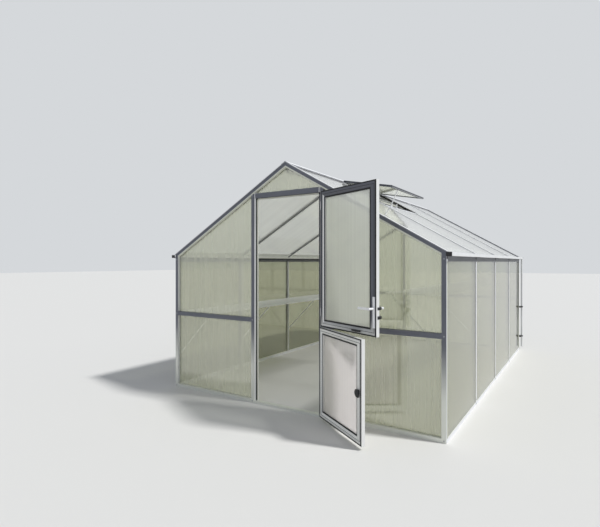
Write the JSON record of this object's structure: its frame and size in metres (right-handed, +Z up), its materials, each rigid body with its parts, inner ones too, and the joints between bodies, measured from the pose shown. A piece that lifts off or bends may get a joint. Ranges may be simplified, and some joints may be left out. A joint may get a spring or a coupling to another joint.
{
  "type": "greenhouse",
  "caption": "Walk-in gable-roofed greenhouse with aluminium frame, translucent sheets, open roof vent and a split door whose leaves swing outward.",
  "frame": {"origin": "middle of the doorway at ground level, in the outer plane of the front gable", "axes": "+Z up, +Y from the front gable to the back gable, +X to the right wall seen from the front"},
  "size_m": [3.092, 5.0119, 2.358],
  "materials": {
    "aluminium": "plain extruded",
    "translucent_sheet": "clear multiwall sheet with fine flutes",
    "white_plastic": "smooth",
    "black_plastic": "moulded"
  },
  "bodies": {
    "house": {"front_base_rails": "aluminium", "back_base_rail": "aluminium", "side_base_rails": "aluminium", "door_threshold": "aluminium", "front_corner_posts": "aluminium", "back_corner_posts": "aluminium", "left_wall_posts": "aluminium", "right_wall_posts": "aluminium", "left_eave_beam": "aluminium", "right_eave_beam": "aluminium", "ridge_beam": "aluminium", "ridge_cap": "aluminium", "left_verge_rafters": "aluminium", "right_verge_rafters": "aluminium", "verge_caps": "aluminium", "left_rafters": "aluminium", "right_rafters": "aluminium", "door_jambs": "aluminium", "door_head": "aluminium", "front_transoms": "aluminium", "back_transoms": "aluminium", "back_gable_posts": "aluminium", "vent_trimmer": "aluminium", "vent_sash": "aluminium", "vent_hinges": "aluminium", "vent_stay": "aluminium", "left_shelf": "aluminium", "right_shelf": "aluminium", "left_shelf_struts": "aluminium", "right_shelf_struts": "aluminium", "jamb_hinges": "aluminium", "left_wall_sheets": "translucent_sheet", "right_wall_sheets": "translucent_sheet", "left_roof_sheets": "translucent_sheet", "right_roof_sheets": "translucent_sheet", "front_gable_sheets": "translucent_sheet", "back_gable_sheets": "translucent_sheet", "vent_sheet": "translucent_sheet", "gutter_floors": "white_plastic", "gutter_front_walls": "white_plastic", "gutter_back_walls": "white_plastic", "downpipes": "white_plastic", "gutter_end_caps": "black_plastic", "downpipe_clips": "black_plastic"},
    "upper_leaf": {"upper_leaf_frame": "aluminium", "upper_leaf_sheet": "translucent_sheet", "upper_leaf_hinges": "aluminium", "lever_plates": "aluminium"},
    "lever": {"lever_handle": "aluminium"},
    "bolt": {"turn_bolt": "black_plastic"},
    "lower_leaf": {"lower_leaf_frame": "aluminium", "lower_leaf_sheet": "translucent_sheet", "lower_leaf_hinges": "aluminium"},
    "latch": {"latch_handle": "black_plastic"}
  },
  "joints": [
    {"name": "upper_leaf_hinge", "type": "hinge", "parent": "house", "child": "upper_leaf", "pos_m": [0.3995, -0.015, 1.4], "axis": [0, 0, 1], "range_deg": [-156, 14]},
    {"name": "lower_leaf_hinge", "type": "hinge", "parent": "house", "child": "lower_leaf", "pos_m": [0.3995, -0.015, 0.4], "axis": [0, 0, 1], "range_deg": [-145.9, 24.1]},
    {"name": "lever_turn", "type": "hinge", "parent": "upper_leaf", "child": "lever", "pos_m": [1.05972, -0.33303, 1.046], "axis": [-0.4067, -0.9135, 0], "range_deg": [0, 45]},
    {"name": "bolt_turn", "type": "hinge", "parent": "upper_leaf", "child": "bolt", "pos_m": [0.86665, -0.27006, 0.856], "axis": [-0.4067, -0.9135, 0], "range_deg": [-90, 0]},
    {"name": "latch_turn", "type": "hinge", "parent": "lower_leaf", "child": "latch", "pos_m": [0.96539, -0.45006, 0.417], "axis": [-0.5606, -0.8281, 0], "range_deg": [0, 90]}
  ]
}
